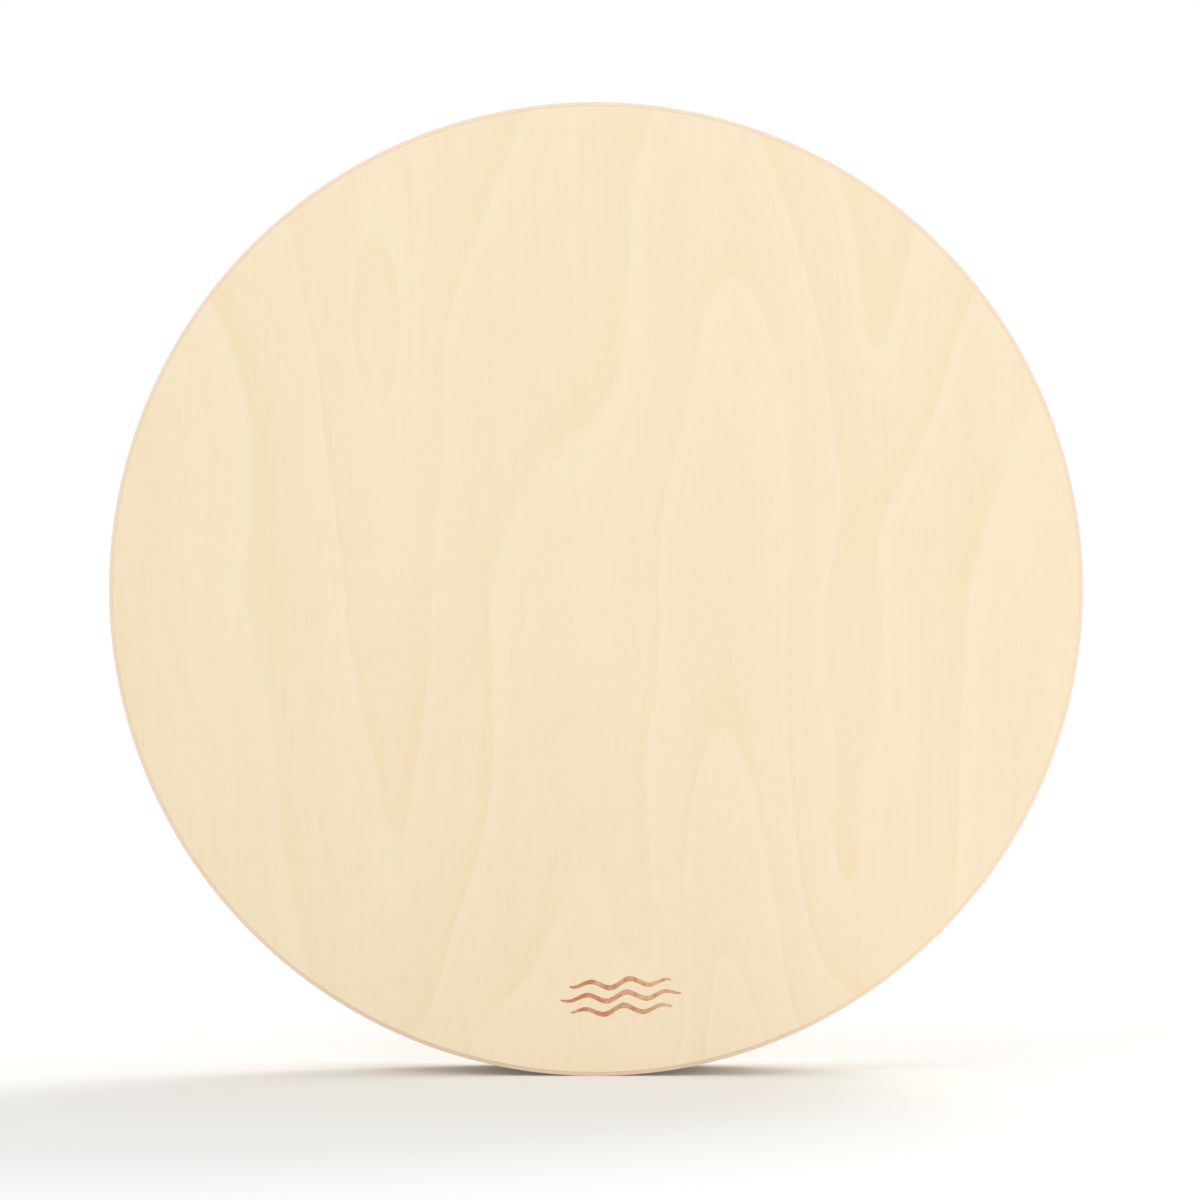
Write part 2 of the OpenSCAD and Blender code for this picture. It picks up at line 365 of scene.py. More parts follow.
def bent_strip(name, corners, scarf_length, end_grain, shape=None, across=False):
    """A strip bent once round the drum, whose ends meet in a scarf.

    Each point of the closed outline keeps its radius and y while the angle runs once round.
    Where it starts depends on how deep it lies: the start runs from half a scarf before the
    scarf's angle on the outside to half a scarf after it on the inside, and holds still through
    a blunt nib at either face. The grain runs along the strip, or across it. end_grain is how
    far the strip's two sides look cut across the grain. name is the CAD node's.
    """
    ease, seam = sizes().edge_ease, sizes().seam_width
    scarf = math.radians(SCARF_DEGREES[name])
    points = outline(corners, ease, closed=True)
    round_path = np.concatenate([[0], np.cumsum(np.hypot(*np.diff(points, axis=0).T))])[::-1]
    radii, ys = points[::-1].T
    depth = (radii.max() - radii) / (radii.max() - radii.min())
    slant = np.clip((depth - SCARF_NIB) / (1 - 2 * SCARF_NIB), 0, 1) - 0.5
    start = scarf + slant * scarf_length / radii
    turn = 2 * np.pi - seam / radii
    share = np.linspace(0, 1, ROUND_STEPS + 1)
    if shape:
        share = shape.shares(share)
    angles = start + turn * share[:, None]
    outer_r = radii.max()
    radii, ys, width = (values + 0 * angles for values in (radii, ys, round_path))
    along = (angles - scarf) * outer_r
    if shape:
        radii = shape(radii, ys, angles)
    sections = np.stack([radii * np.cos(angles), ys, AXIS_Z + radii * np.sin(angles)], axis=2)
    places, quads, caps = capped_tube(sections)
    grain = np.stack([along, width] if across else [width, along], axis=2)
    side = (ys <= ys.min() + ease) | (ys >= ys.max() - ease)
    # The first corner of a face sets the diagonal that splits it
    quads = np.roll(quads, 1, axis=1)
    return put_mesh(
        name + "_strip", places, quads, caps,
        grain=np.concatenate([grain.reshape(-1, 2), grain[[0, -1], -1]]),
        end_grain=np.concatenate([np.where(side, end_grain, 0).ravel(), [1, 1]]),
    )


def arc_points(centre_r, centre_y, radius, first, last, steps):
    """Points (r, y) of an arc, at angles from first to last, measured from the radius to +Y."""
    angles = np.linspace(first, last, steps)
    return [(centre_r + radius * math.cos(a), centre_y + radius * math.sin(a)) for a in angles]


# Materials

def linear(rgb):
    """An sRGB colour as the shaders take it.

    Above 0.04045 it is ((c + 0.055) / 1.055) to the power 2.4, and below it c / 12.92.
    """
    c = np.asarray(rgb, float)
    values = np.where(c <= 0.04045, c / 12.92, ((c + 0.055) / 1.055) ** 2.4)
    return (*values.tolist(), 1.0)


class Nodes:
    """A short way to build the node tree of a material or a world."""

    def __init__(self, owner, output="ShaderNodeOutputMaterial"):
        owner.use_nodes = True
        self.owner = owner
        self.tree = owner.node_tree
        self.tree.nodes.clear()
        self.output = self.add(output)

    def fill(self, socket, value):
        """Sets a socket, or links it where the value is another node's socket."""
        if isinstance(value, bpy.types.NodeSocket):
            self.tree.links.new(value, socket)
        else:
            socket.default_value = value

    def add(self, kind, inputs=None, **settings):
        """A node with its settings, and its inputs by name or number."""
        node = self.tree.nodes.new(kind)
        for key, value in settings.items():
            setattr(node, key, value)
        for key, value in (inputs or {}).items():
            self.fill(node.inputs[key], value)
        return node

    def maths(self, operation, *values):
        """The outcome of a sum or another operation on numbers or sockets."""
        return self.add("ShaderNodeMath", dict(enumerate(values)), operation=operation).outputs[0]

    def noise(self, place, scale, detail=3.0, roughness=0.5):
        """Noise from 0 to 1 at a place whose axes are first scaled apart."""
        scaled = self.add("ShaderNodeMapping", {"Vector": place, "Scale": scale}).outputs[0]
        inputs = {"Vector": scaled, "Scale": 1.0, "Detail": detail, "Roughness": roughness}
        return self.add("ShaderNodeTexNoise", inputs).outputs[0]

    def spread(self, value, low, high, to_low=0.0, to_high=1.0, **settings):
        """Stretches the values from low to high over to_low to to_high, and holds them there."""
        inputs = {
            "Value": value, "From Min": low, "From Max": high, "To Min": to_low, "To Max": to_high,
        }
        return self.add("ShaderNodeMapRange", inputs, **settings).outputs[0]

    def mix(self, share, first, second):
        """A blend of two colours."""
        node = self.add("ShaderNodeMix", data_type="RGBA")
        # Numbers of the share and of the two colours among the mix node's inputs
        for number, value in ((0, share), (6, first), (7, second)):
            self.fill(node.inputs[number], value)
        return node.outputs[2]

    def blend(self, share, first, second):
        """A blend of two shaders."""
        return self.add("ShaderNodeMixShader", {0: share, 1: first, 2: second}).outputs[0]

    def shader(self, kind, inputs):
        """A shader of a kind, such as BsdfDiffuse or Emission."""
        return self.add("ShaderNode" + kind, inputs).outputs[0]

    def bump(self, height, distance, strength):
        """A surface direction tilted by a height."""
        inputs = {"Height": height, "Distance": distance, "Strength": strength}
        return self.add("ShaderNodeBump", inputs).outputs[0]

    def object_place(self):
        """The place in the piece's own coordinates."""
        return self.add("ShaderNodeTexCoord").outputs["Object"]

    def attribute(self, name):
        """The value of a point attribute."""
        return self.add("ShaderNodeAttribute", attribute_name=name).outputs["Fac"]

    def seen(self):
        """1 for the camera's rays and those that mirror or pass through, 0 for the others."""
        rays = self.add("ShaderNodeLightPath").outputs
        looked_at = self.maths("MAXIMUM", rays["Is Camera Ray"], rays["Is Glossy Ray"])
        return self.maths("MAXIMUM", looked_at, rays["Is Transmission Ray"])

    def show(self, shader):
        """Ends the tree with a shader, and returns the material or world."""
        self.fill(self.output.inputs[0], shader)
        return self.owner


def new_material(name):
    """The node tree of a new material."""
    return Nodes(bpy.data.materials.new(name))


def ring_figure(n, grain, tone, pale, tan):
    """Growth rings: each turns tan up to a sharp line, where the pale start of the next begins.

    With f the fraction of the ring number, the tan share is 0.55 f^12 + 0.2 f^2, which falls
    back to nothing in the last 3.5% of the ring. The pale share is 0.6 (1 - f)^4. Slow noise
    lets the tan fade in and out, and moves the lines a little. Thirds of a ring end in a fainter
    line, of share 0.2 f^5.
    """
    shift = n.spread(n.noise(grain, (110, 9, 1), 2), 0.2, 0.8, -0.03, 0.03)
    number = n.maths("ADD", n.attribute(RINGS), shift)
    f = n.maths("FRACT", number)
    strength = n.spread(n.noise(grain, (16, 7, 1), 2), 0.36, 0.60, 0.25, 0.85)
    end = n.maths("MULTIPLY", f, n.spread(f, 0.965, 1.0, 1.0, 0.0))
    sharp = n.maths("MULTIPLY", n.maths("POWER", end, 12.0), 0.55)
    soft = n.maths("MULTIPLY", n.maths("POWER", end, 2.0), 0.2)
    third = n.maths("FRACT", n.maths("MULTIPLY_ADD", number, 3.0, 0.3))
    faint = n.maths("MULTIPLY", n.maths("POWER", third, 5.0), 0.2)
    all_tan = n.maths("ADD", n.maths("ADD", sharp, soft), faint)
    tan_share = n.maths("MULTIPLY", all_tan, strength)
    start = n.maths("POWER", n.maths("SUBTRACT", 1.0, f), 4.0)
    pale_share = n.maths("MULTIPLY", start, 0.6)
    return n.mix(tan_share, n.mix(pale_share, tone, linear(pale)), linear(tan))


def wood(name, light, shade, fleck, cut, rings=None, line_scale=420.0, contrast=1.0):
    """Birch: broad tones, fine lines and short flecks along the grain, and speckled end grain.

    The grain map's first coordinate runs across the grain and its second along it, so every
    noise is stretched along the second. rings, the pale and the tan of the growth rings, add
    the figure of a peeled veneer.
    """
    n = new_material(name)
    grain = n.add("ShaderNodeUVMap", uv_map=GRAIN_MAP).outputs[0]
    broad = n.spread(n.noise(grain, (34, 2.4, 1), 2), 0.35, 0.68)
    lines = n.spread(n.noise(grain, (line_scale, 5, 1), 4, 0.62), 0.34, 0.70)
    flecks = n.spread(n.noise(grain, (1900, 60, 1), 2), 0.58, 0.74)
    broad_share = n.maths("MULTIPLY", broad, 0.26 * contrast)
    share = n.maths("MULTIPLY_ADD", lines, 0.28 * contrast, broad_share)
    tone = n.mix(share, linear(light), linear(shade))
    if rings:
        tone = ring_figure(n, grain, tone, *rings)
    tone = n.mix(n.maths("MULTIPLY", flecks, 0.24 * contrast), tone, linear(fleck))
    speckle = n.spread(n.noise(n.object_place(), (1900, 1900, 1900), 2), 0.35, 0.7, 0.72, 1.0)
    tone = n.mix(n.maths("MULTIPLY", n.attribute(END_GRAIN), speckle), tone, linear(cut))
    height = n.maths("SUBTRACT", n.maths("MULTIPLY", lines, 0.5), flecks)
    return n.show(n.shader("BsdfPrincipled", {
        "Base Color": tone,
        "Roughness": n.spread(lines, 0, 1, 0.50, 0.62),
        "Normal": n.bump(height, 0.03 * MM, 0.5),
        "Specular IOR Level": 0.35,
    }))


def brushed_metal(name, tint, rough_low, rough_high, scratch_scale, bump_height):
    """Metal with fine scratches: noise at two scales varies its gloss, tint and height."""
    n = new_material(name)
    place = n.object_place()
    fine = n.noise(place, (scratch_scale,) * 3, 3, 0.6)
    broad = n.noise(place, (scratch_scale / 9,) * 3, 2)
    dull = linear([c * 0.86 for c in tint])
    return n.show(n.shader("BsdfPrincipled", {
        "Base Color": n.mix(n.spread(broad, 0.3, 0.7, 0.0, 0.35), linear(tint), dull),
        "Metallic": 1.0,
        "Roughness": n.spread(fine, 0.3, 0.7, rough_low, rough_high),
        "Normal": n.bump(fine, bump_height, 0.35),
    }))


def copper_print(name, full, worn):
    """Copper print pressed on wood, with a soft sheen.

    Patches a few millimetres wide are thinner, and more so towards the right, where the print
    also loses its sheen. Fine grit roughens it and lowers it into the grain.
    """
    n = new_material(name)
    place = n.object_place()
    x = n.add("ShaderNodeSeparateXYZ", {0: place}).outputs[0]
    patches = n.noise(place, (300, 300, 300), 3, 0.6)
    grit = n.noise(place, (2600, 2600, 900), 2)
    wear = n.maths("ADD", patches, n.spread(x, -0.02, 0.04, -0.12, 0.12))
    wear = n.maths("ADD", wear, n.spread(grit, 0.3, 0.7, -0.05, 0.05))
    wear = n.spread(wear, 0.38, 0.68)
    return n.show(n.shader("BsdfPrincipled", {
        "Base Color": n.mix(wear, linear(full), linear(worn)),
        "Metallic": n.spread(wear, 0, 1, 0.45, 0.1),
        "Roughness": n.spread(wear, 0, 1, 0.34, 0.6),
        "Normal": n.bump(grit, 0.01 * MM, 0.4),
    }))


def clear_film(name, tint, haze):
    """Clear film: light goes straight through, and faint haze lies where beads have struck it.

    The gloss is 0.04 + 0.96 f^5, where f is one less the cosine of the angle of sight, on
    either side of the film.
    """
    n = new_material(name)
    place = n.object_place()
    scuffs = n.spread(n.noise(place, (900, 900, 900), 4, 0.7), 0.62, 0.78, 0.0, 0.06)
    mist = n.spread(n.noise(place, (14, 14, 14), 3), 0.3, 0.75, 0.004, 0.016)
    through = n.shader("BsdfTransparent", {"Color": linear(tint)})
    veil = n.shader("BsdfDiffuse", {"Color": linear(haze)})
    gloss = n.shader("BsdfGlossy", {"Color": (1, 1, 1, 1), "Roughness": 0.09})
    facing = n.add("ShaderNodeLayerWeight", {"Blend": 0.5}).outputs["Facing"]
    edge = n.maths("MULTIPLY_ADD", n.maths("POWER", facing, 5.0), 0.96, 0.04)
    return n.show(n.blend(edge, n.blend(n.maths("ADD", scuffs, mist), through, veil), gloss))


# The plate's figure

# Growth rings of the plate's veneers, listed: ring number, then x and z in millimetres.
# A whole number lies on the line that parts two rings. Lines point down in a V over a hollow of
# the log, and up in an arch over a ridge.
RING_PLACES = (
    (1, -88.7, 120), (1, -86, 100), (1, -82, 81), (1, -78.5, 100), (1, -75, 120),
    (0.7, -82, 120), (1.5, -84, 40), (1.6, -108, 70), (1.5, -110, 110), (2.4, -150, 110),
    (2, -42.5, 119), (2, -46.5, 94), (2, -51, 81), (2, -60, 54), (2, -67, 29),
    (2.88, -7, 110), (2.9, -15, 92),
    (3, -49.6, 15), (3, -32, 35), (3, -20, 53), (3, -10, 76), (3, -4, 86), (3.3, -4, 55),
    (3, 3, 80), (3, 6.5, 60), (3, 16.5, 46), (3, 24.5, 56), (3, 23.5, 72), (3, 22, 100),
    (2.8, 14.5, 75), (4, 41, 119), (4, 36, 84), (4, 37, 52), (4, 35.5, 13),
    (4, 65, 114), (4, 71.5, 83), (4, 76, 50), (4, 81, 26),
    (5, 45, 10), (5, 50, 45), (5, 62, 35), (5, 68, 18), (4.45, 52, 85), (5.5, 55, 12),
    (2, 96, 105), (2, 101.5, 78), (2, 107, 105), (2.8, 101, 45), (2.4, 128, 110),
    (3, 150, 130), (2.6, -180, 200), (2, -146, 200), (1.6, -115, 200), (0.3, -84, 200),
    (1.5, -58, 200), (2.2, -30, 200), (2.35, -4, 190), (2.5, 15, 180), (3.3, 32, 200),
    (3.8, 54, 215), (3.3, 74, 200), (1.7, 100, 190), (2.4, 128, 210), (3.1, 160, 200),
    (3.6, 190, 200), (2.1, -155, 290), (1.3, -120, 290), (-0.3, -90, 300), (1, -62, 300),
    (1.8, -10, 290), (2.2, 20, 290), (3.3, 60, 300), (2.2, 90, 300), (1, 112, 300),
    (2.1, 150, 300), (0.2, -80, 380), (1.2, -20, 385), (2.4, 50, 385), (1.2, 90, 380),
)
# Heights count half, so that the figure runs upright
RING_SCALE = np.array([0.01, 0.005])
RING_STIFFNESS = 0.0004


def spline_kernel(first, second):
    """A thin plate's bending, d^2 log(d^2), for each pair of places at a distance d."""
    square = ((first[:, None] - second[None]) ** 2).sum(axis=2)
    return square * np.log(np.maximum(square, 1e-9))


def ring_numbers(places):
    """The growth ring at each place: a thin plate bent through the chosen rings.

    The number is a + b x + c z plus a weighted kernel round each chosen ring. The weights make
    the plate pass close to every chosen ring, and a small stiffness smooths it.
    """
    rings = np.array(RING_PLACES)
    chosen = rings[:, 1:] * RING_SCALE
    count = len(chosen)
    flat = np.concatenate([np.ones((count, 1)), chosen], axis=1)
    system = np.zeros((count + 3, count + 3))
    system[:count, :count] = spline_kernel(chosen, chosen) + RING_STIFFNESS * np.eye(count)
    system[:count, count:] = flat
    system[count:, :count] = flat.T
    weights = np.linalg.solve(system, np.concatenate([rings[:, 0], np.zeros(3)]))
    here = places[:, [0, 2]] / MM * RING_SCALE
    bent = spline_kernel(here, chosen) @ weights[:count]
    return bent + weights[count] + here @ weights[count + 1:]


def back_rings(places):
    """The growth rings of the plate's back: the same log's next sheet, turned upside down."""
    return ring_numbers(places * np.array([1, 1, -1]) + np.array([0, 0, 2 * AXIS_Z]))


# The face veneer's sway, the height and the width over which its sine turns by a radian, and how
# far across and along the sheet the back veneer was cut, in metres
GRAIN_SWAY = 1.2 * MM
SWAY_HEIGHT = 55 * MM
SWAY_WIDTH = 110 * MM
BACK_SHIFT = np.array([0.9, 0.7])


def face_grain(places):
    """Across and along the face veneer's grain, which is upright and sways as a sine."""
    x, y, z = places.T
    sway = GRAIN_SWAY * np.sin(z / SWAY_HEIGHT + x / SWAY_WIDTH)
    return np.stack([x + sway, z + y], axis=1)


def back_grain(places):
    """Across and along the back veneer's grain, upright, from another stretch of the sheet."""
    return face_grain(places) + BACK_SHIFT


def core_grain(places):
    """Across and along the core ply's grain, which lies level."""
    x, y, z = places.T
    return np.stack([z + y, x], axis=1)


def cut_upright(radii, angles):
    """How far an upright-grained ply's rim is cut across its grain: the size of the sine."""
    return np.where(radii > FACE_R + sizes().edge_ease / 2, np.abs(np.sin(angles)), 0)


def cut_level(radii, angles):
    """How far a level-grained ply's rim is cut across its grain: the size of the cosine."""
    return np.where(radii > FACE_R, np.abs(np.cos(angles)), 0)


class FrontPlate(bpy.types.Operator):
    """Three plies of birch with a bevelled rim, each turned from its own outline"""

    bl_idname = "ocean_drum.front_plate"
    bl_label = "Front plate"

    def execute(self, context):
        """The face lies lower than the CAD model's by the print's thickness."""
        tones = colours()
        ease = sizes().edge_ease
        face_y = FRONT_Y + sizes().print_rise
        core_face_r = FACE_R + CORE_FRONT_Y - FRONT_Y
        shoulder_y = FRONT_Y + DRUM_R - FACE_R
        face_wood = wood(
            "face birch", tones.birch, tones.birch_shade, tones.fleck, tones.veneer_edge,
            rings=(tones.ring_pale, tones.ring_tan),
        )
        core_wood = wood(
            "core birch", tones.core, tones.core_end, tones.core_end, tones.core_end,
            line_scale=900.0,
        )
        face = turned_piece(
            "plate_face_veneer",
            [
                (0, face_y, FACE_SPACING),
                (FACE_R, face_y, ease),
                (core_face_r, CORE_FRONT_Y, HIDDEN_SPACING),
                (0, CORE_FRONT_Y, HIDDEN_SPACING),
            ],
            ease / 2, grain=face_grain, end_grain=cut_upright, rings=ring_numbers,
        )
        dress(face, face_wood, "face_veneer", "front_face_veneer")
        core = turned_piece(
            "plate_core_ply",
            [
                (0, CORE_FRONT_Y, HIDDEN_SPACING),
                (core_face_r, CORE_FRONT_Y, ease),
                (DRUM_R, shoulder_y, ease),
                (DRUM_R, CORE_BACK_Y, HIDDEN_SPACING),
                (0, CORE_BACK_Y, HIDDEN_SPACING),
            ],
            ease / 2, grain=core_grain, end_grain=cut_level,
        )
        dress(core, core_wood, "core_ply", "front_core_ply")
        back = turned_piece(
            "plate_back_veneer",
            [
                (0, CORE_BACK_Y, HIDDEN_SPACING),
                (DRUM_R, CORE_BACK_Y, ease),
                (DRUM_R, PLATE_BACK_Y, 2 * FACE_SPACING),
                (0, PLATE_BACK_Y, HIDDEN_SPACING),
            ],
            ease, grain=back_grain, end_grain=cut_upright, rings=back_rings,
        )
        dress(back, face_wood, "face_veneer", "front_back_veneer")
        return {"FINISHED"}


class Shell(bpy.types.Operator):
    """Three bent plies and two glue hoops, each a strip whose ends meet in a scarf"""

    bl_idname = "ocean_drum.shell"
    bl_label = "Shell and glue hoops"

    def execute(self, context):
        tones = colours()
        shell_wood = wood(
            "shell birch", tones.shell, tones.shell_shade, tones.fleck, tones.shell_shade,
            line_scale=380.0, contrast=1.7,
        )
        for node in PLY_NODES:
            corners = self.ply_corners(node)
            across = node == "shell_middle_ply"
            ply = bent_strip(node, corners, sizes().ply_scarf, 0.6, across=across)
            dress(ply, shell_wood, "shell_ply", node)
        for node in GLUE_HOOPS:
            hoop = bent_strip(node, self.hoop_corners(node), sizes().hoop_scarf, 0.3)
            dress(hoop, shell_wood, "shell_ply", node)
        return {"FINISHED"}

    def ply_corners(self, node):
        """A ply's section: the outer ply carries the bearing edge, the others slope down to it."""
        inner_r, outer_r = radius_range(node)
        front_y, back_y = y_range(node)
        corners = [(inner_r, front_y), (outer_r, front_y)]
        if node == "shell_outer_ply":
            mid_way = BEARING_MIDDLE * BEARING_ROUND
            corners += [
                (outer_r, back_y - BEARING_ROUND),
                (outer_r - mid_way, back_y - mid_way),
                (outer_r - BEARING_ROUND, back_y),
                (inner_r, back_y),
            ]
        else:
            corners += [(outer_r, back_y), (inner_r, back_y - (outer_r - inner_r))]
        return [(r, y, STRIP_SPACING) for r, y in corners]

    def hoop_corners(self, node):
        """A glue hoop's section, bevelled inside at its end in the chamber."""
        inner_r, outer_r = radius_range(node)
        front_y, back_y = y_range(node)
        if node == "front_glue_hoop":
            corners = [
                (inner_r, front_y),
                (outer_r, front_y),
                (outer_r, back_y),
                (inner_r + HOOP_BEVEL, back_y),
                (inner_r, back_y - HOOP_BEVEL),
            ]
        else:
            corners = [
                (inner_r, front_y + HOOP_BEVEL),
                (inner_r + HOOP_BEVEL, front_y),
                (outer_r, front_y),
                (outer_r, back_y),
                (inner_r, back_y),
            ]
        return [(r, y, STRIP_SPACING) for r, y in corners]


# Ripples of the film: waves round the rim, share of the height, and start in radians
RIPPLE_WAVES = ((36, 0.5, 0.4), (61, 0.3, 2.1), (97, 0.2, 0.0))


class FilmHead(bpy.types.Operator):
    """Clear film stretched over the bearing edge, with stretch ripples near its fold"""

    bl_idname = "ocean_drum.film_head"
    bl_label = "Film head"

    def execute(self, context):
        tones = colours()
        skirt_y, back_y = y_range("film_head")
        outer_r = radius_range("film_head")[1]
        film_t = outer_r - radius_range("shell_outer_ply")[1]
        ripple, reach = sizes().film_ripple, sizes().ripple_reach

        def rippled(radii, heights, angles):
            """Moves the film outwards by its ripples. Heights run towards -Y, so outwards is down.

            At a distance d in from the rim the move is the ripple times exp(-d / reach) times the
            size of a sum of sines round the rim. It grows from nothing at the rim over two folds.
            """
            inwards = outer_r - radii
            fade = np.exp(-inwards / reach) * np.clip(inwards / (2 * FILM_FOLD), 0, 1)
            waves = sum(
                share * np.sin(count * angles + start) for count, share, start in RIPPLE_WAVES
            )
            return heights - np.abs(ripple * fade * waves)

        centre = (outer_r - FILM_FOLD, back_y - FILM_FOLD)
        inside = arc_points(*centre, FILM_FOLD - film_t, np.pi / 2, 0, FOLD_STEPS)
        outside = arc_points(*centre, FILM_FOLD, 0, np.pi / 2, FOLD_STEPS)
        calm_r = outer_r - 3 * reach
        corners = [(0, back_y - film_t, CALM_SPACING), (calm_r, back_y - film_t, RIPPLE_SPACING)]
        corners += [(r, y, FILM_FOLD) for r, y in inside]
        corners += [(outer_r - film_t, skirt_y, FILM_FOLD), (outer_r, skirt_y, RIPPLE_SPACING)]
        corners += [(r, y, FILM_FOLD) for r, y in outside[:-1]]
        corners += [(*outside[-1], RIPPLE_SPACING)]
        corners += [(calm_r, back_y, CALM_SPACING), (0, back_y, CALM_SPACING)]
        film = turned_piece("film_sheet", corners, 0, shape=rippled)
        dress(film, clear_film("clear film", tones.film, tones.film_haze), "clear_film", "film_head")
        return {"FINISHED"}


def pin_places():
    """The angles of the hoop pins, and their y, from the CAD node's points."""
    points = node_points("hoop_pins")
    heads = points[np.hypot(points[:, 0], points[:, 2] - AXIS_Z) > DRUM_R - SKIN]
    order = np.sort(np.arctan2(heads[:, 2] - AXIS_Z, heads[:, 0]))
    starts = np.flatnonzero(np.diff(order) > PIN_GAP) + 1
    groups = np.split(order, starts)
    return np.array([group.mean() for group in groups]), float(points[:, 1].mean())


class Dimples:
    """Presses small dimples into the trim hoop round its pins.

    The outer face moves in by depth (1 - d^2)^2, where d is the distance to the nearest pin over
    the dimple's radius.
    """

    def __init__(self, pin_angles, pin_y, depth, radius):
        self.pin_angles, self.pin_y, self.depth, self.radius = pin_angles, pin_y, depth, radius

    def shares(self, shares):
        """Adds steps across each dimple and a tenth past its rim, so that it is round."""
        start = math.radians(SCARF_DEGREES["trim_hoop"])
        near = np.linspace(-1.1, 1.1, DIMPLE_STEPS) * self.radius / DRUM_R
        extra = ((self.pin_angles[:, None] + near[None] - start) % (2 * np.pi)) / (2 * np.pi)
        return np.unique(np.concatenate([shares, extra.ravel()]))

    def __call__(self, radii, ys, angles):
        """The radii with the dimples, which fade out through the skin."""
        apart = (angles[..., None] - self.pin_angles + np.pi) % (2 * np.pi) - np.pi
        along = np.abs(apart).min(axis=-1) * DRUM_R
        near = np.clip((along ** 2 + (ys - self.pin_y) ** 2) / self.radius ** 2, 0, 1)
        outside = np.clip((radii - (DRUM_R - SKIN)) / SKIN, 0, 1)
        return radii - self.depth * outside * (1 - near) ** 2


class TrimHoop(bpy.types.Operator):
    """The trim hoop with its rounded edges and dimples, and the brass pins that hold it"""

    bl_idname = "ocean_drum.trim_hoop"
    bl_label = "Trim hoop and pins"

    def execute(self, context):
        tones = colours()
        front_y, back_y = y_range("trim_hoop")
        inner_r = radius_range("trim_hoop")[0]
        pin_angles, pin_y = pin_places()
        dimples = Dimples(pin_angles, pin_y, sizes().dimple_depth, sizes().dimple_radius)
        round_r = DRUM_R - TRIM_ROUND
        front_edge = arc_points(
            round_r, front_y + TRIM_ROUND, TRIM_ROUND, -np.pi / 2, 0, TRIM_EDGE_STEPS
        )
        back_edge = arc_points(
            round_r, back_y - TRIM_ROUND, TRIM_ROUND, 0, np.pi / 2, TRIM_EDGE_STEPS
        )
        outside = [(inner_r, front_y), *front_edge, *back_edge]
        corners = [(r, y, TRIM_SPACING) for r, y in outside]
        corners += [(inner_r, back_y, TRIM_INSIDE_SPACING)]
        trim_wood = wood(
            "trim birch", tones.trim, tones.trim_shade, tones.fleck, tones.trim_shade,
            line_scale=500.0, contrast=1.6,
        )
        hoop = bent_strip("trim_hoop", corners, sizes().ply_scarf, 0.4, shape=dimples)
        dress(hoop, trim_wood, "trim_wood", "trim_hoop")
        brass = brushed_metal("pin brass", tones.brass, 0.22, 0.40, 2600, 0.01 * MM)
        dress(self.pins(pin_angles, pin_y), brass, "brass_pin", "hoop_pins")
        return {"FINISHED"}

    def pins(self, pin_angles, pin_y):
        """All the pins as one piece: each a domed head, a taper, a shank and a point.

        A pin is turned about its own axis, and its height runs outwards from the drum's axis.
        """
        low_r, high_r = radius_range("hoop_pins")
        dome = sizes().pin_dome
        tip = low_r - high_r - dome
        swell = np.linspace(0, np.pi / 2, DOME_STEPS)
        points = [(PIN_HEAD_R * math.sin(a), dome * math.cos(a) - dome) for a in swell]
        points += [(PIN_SHANK_R, -dome - PIN_HEAD_H), (PIN_SHANK_R, tip + PIN_POINT_L), (0, tip)]
        local, _, quads, caps = lathe(np.array(points), PIN_STEPS)
        level = 0 * pin_angles
        outward = np.stack([np.cos(pin_angles), level, np.sin(pin_angles)], axis=1)
        sideways = np.stack([-np.sin(pin_angles), level, np.cos(pin_angles)], axis=1)
        heads = outward * (high_r + dome) + np.array([0, pin_y, AXIS_Z])
        places = (
            heads[:, None]
            + sideways[:, None] * local[None, :, :1]
            + np.cross(outward, sideways)[:, None] * local[None, :, 1:2]
            + outward[:, None] * local[None, :, 2:]
        )
        shift = (np.arange(len(pin_angles)) * len(local))[:, None, None]
        return put_mesh(
            "hoop_pin_set",
            places.reshape(-1, 3),
            (quads[None] + shift).reshape(-1, 4),
            (caps[None] + shift).reshape(-1, 3),
        )


class Beads(bpy.types.Operator):
    """Polished steel for the beads, whose round solids stay as they are"""

    bl_idname = "ocean_drum.beads"
    bl_label = "Beads"

    def execute(self, context):
        steel = brushed_metal("bead steel", colours().steel, 0.10, 0.26, 1500, 0.008 * MM)
        for name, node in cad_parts.items():
            if name.startswith("bead_lane"):
                node.data.materials.clear()
                node.data.materials.append(steel)
        return {"FINISHED"}


# The printed mark's lines: share of the mark's width, share of its height from the middle, and
# how many turns the wave is ahead
WAVE_LINES = ((0.84, 0.36, 0.0), (1.0, 0.0, 0.1), (0.84, -0.36, 0.2))
WAVE_TURNS = 3.0
WAVE_SWING = 0.11
WAVE_TILT = math.radians(3.5)
LINE_TIP = 0.05 * MM


